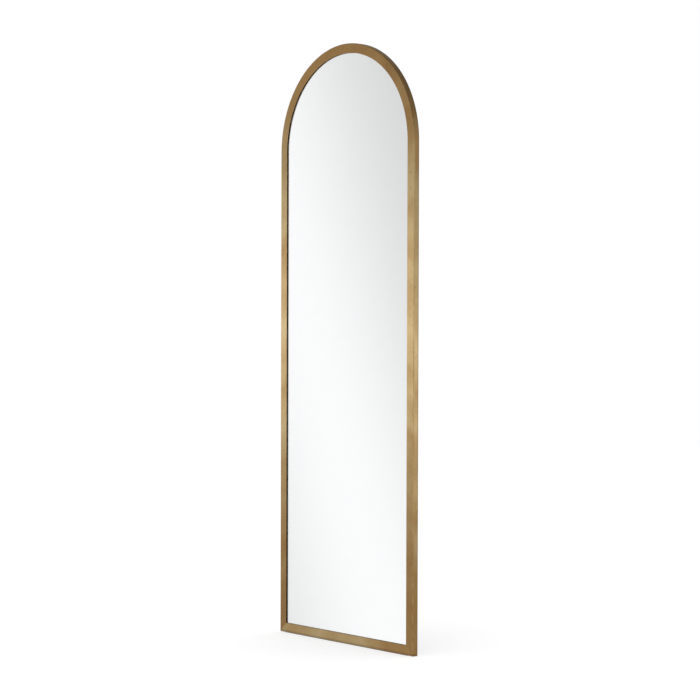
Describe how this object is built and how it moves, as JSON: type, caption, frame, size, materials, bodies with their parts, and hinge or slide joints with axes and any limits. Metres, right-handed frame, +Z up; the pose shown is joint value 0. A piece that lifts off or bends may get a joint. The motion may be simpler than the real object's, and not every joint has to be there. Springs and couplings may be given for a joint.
{
  "type": "floor mirror",
  "caption": "Full-length arched floor mirror in a slim hollow metal frame with an antique brass finish, mitred bottom corners, clipped backing board and two swinging D-rings.",
  "frame": {"origin": "on the floor, in the middle of the width and of the frame depth: the centre of the underside of the anti-slip strip", "axes": "+X across the width, to the right as seen from the front; +Y from the front towards the wall; +Z up"},
  "size_m": [0.6096, 0.026, 1.7778],
  "materials": {
    "brass_frame": "satin",
    "clear_glass": "gloss",
    "silvering": "polished",
    "safety_film": "satin",
    "card": "matte",
    "black_board": "matte",
    "black_rubber": "matte",
    "zinc_steel": "satin",
    "cast_key": "matte"
  },
  "bodies": {
    "mirror": {"frame_hoop": "brass_frame", "bottom_rail": "brass_frame", "glazing_tape": "black_rubber", "mirror_glass": "clear_glass", "silver_layer": "silvering", "safety_film": "safety_film", "cushion_sheet": "card", "backing_board": "black_board", "anti_slip_strip": "black_rubber", "corner_key_left": "cast_key", "corner_key_right": "cast_key", "corner_key_screws": "zinc_steel", "setting_block_left": "black_rubber", "setting_block_right": "black_rubber", "d_ring_strap_left": "zinc_steel", "d_ring_strap_right": "zinc_steel", "clip_screws": "zinc_steel", "hanger_screws": "zinc_steel", "retaining_clip_01": "zinc_steel", "retaining_clip_02": "zinc_steel", "retaining_clip_03": "zinc_steel", "retaining_clip_04": "zinc_steel", "retaining_clip_05": "zinc_steel", "retaining_clip_06": "zinc_steel", "retaining_clip_07": "zinc_steel", "retaining_clip_08": "zinc_steel", "retaining_clip_09": "zinc_steel", "retaining_clip_10": "zinc_steel", "retaining_clip_11": "zinc_steel", "retaining_clip_12": "zinc_steel", "retaining_clip_13": "zinc_steel", "retaining_clip_14": "zinc_steel", "wall_bumper_upper_left": "black_rubber", "wall_bumper_upper_right": "black_rubber", "wall_bumper_lower_left": "black_rubber", "wall_bumper_lower_right": "black_rubber"},
    "d_ring_left": {"d_ring_left": "zinc_steel"},
    "d_ring_right": {"d_ring_right": "zinc_steel"}
  },
  "joints": [
    {"name": "ring_hinge_left", "type": "hinge", "parent": "mirror", "child": "d_ring_left", "pos_m": [-0.2904, 0.0128, 1.4252], "axis": [1, 0, 0], "range_deg": [0, 180]},
    {"name": "ring_hinge_right", "type": "hinge", "parent": "mirror", "child": "d_ring_right", "pos_m": [0.2904, 0.0128, 1.4252], "axis": [1, 0, 0], "range_deg": [0, 180]}
  ]
}
